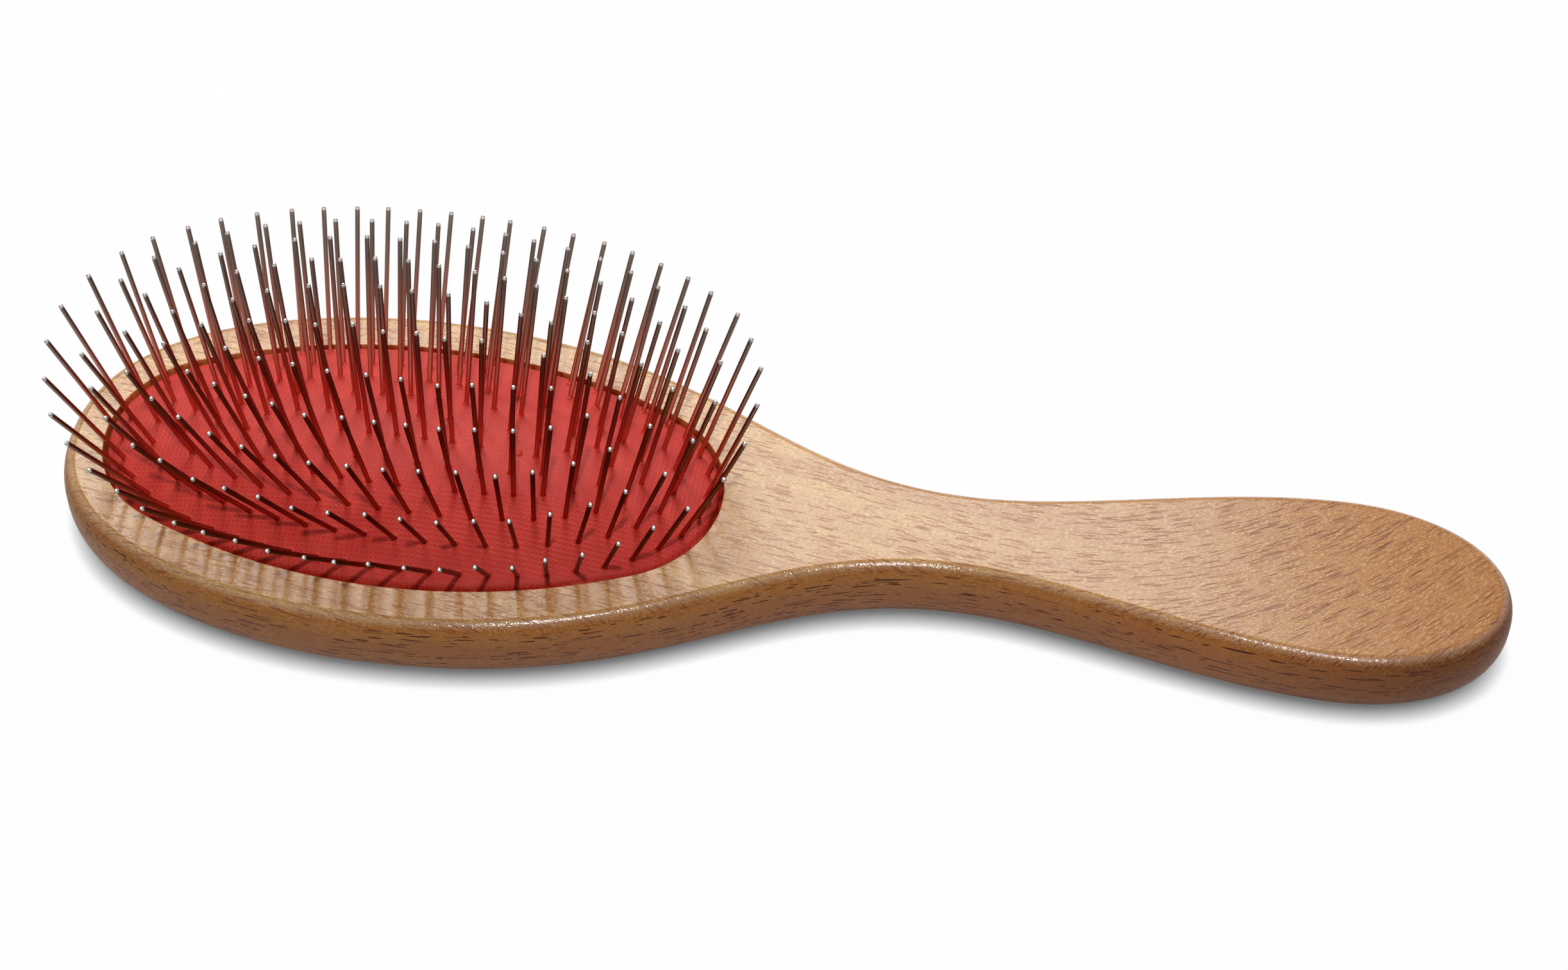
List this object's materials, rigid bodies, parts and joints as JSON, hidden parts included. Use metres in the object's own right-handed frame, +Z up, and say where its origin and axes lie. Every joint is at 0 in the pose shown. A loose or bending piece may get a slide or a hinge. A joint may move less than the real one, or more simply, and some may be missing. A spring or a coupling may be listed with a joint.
{
  "type": "pin brush",
  "caption": "Long-coat pin brush: one-piece beech body with a waisted grip, and an oval red rubber air cushion with fanned round-tipped steel pins.",
  "frame": {"origin": "on the rest plane of the flat back, under the centre of the oval opening", "axes": "+X along the brush from the head to the end of the grip, +Y across it, +Z up out of the back through the pins"},
  "size_m": [0.2267, 0.0746, 0.0428],
  "materials": {
    "beech": "satin lacquer over beech with short ray flecks",
    "red_rubber": "matt, embossed with a fine square weave",
    "pin_steel": "polished wire"
  },
  "bodies": {
    "root": {"body": "beech", "cushion": "red_rubber", "pins_1_nose_front": "pin_steel", "pins_1_nose_rear": "pin_steel", "pins_1_neck_front": "pin_steel", "pins_1_neck_rear": "pin_steel", "pins_2_nose_front": "pin_steel", "pins_2_nose_rear": "pin_steel", "pins_2_neck_front": "pin_steel", "pins_2_neck_rear": "pin_steel", "pins_3_nose_front": "pin_steel", "pins_3_nose_rear": "pin_steel", "pins_3_neck_front": "pin_steel", "pins_3_neck_rear": "pin_steel", "pins_4_nose_front": "pin_steel", "pins_4_nose_rear": "pin_steel", "pins_4_neck_front": "pin_steel", "pins_4_neck_rear": "pin_steel", "pins_5_nose_front": "pin_steel", "pins_5_nose_rear": "pin_steel", "pins_5_neck_front": "pin_steel", "pins_5_neck_rear": "pin_steel", "pins_middle_row": "pin_steel"}
  },
  "joints": []
}
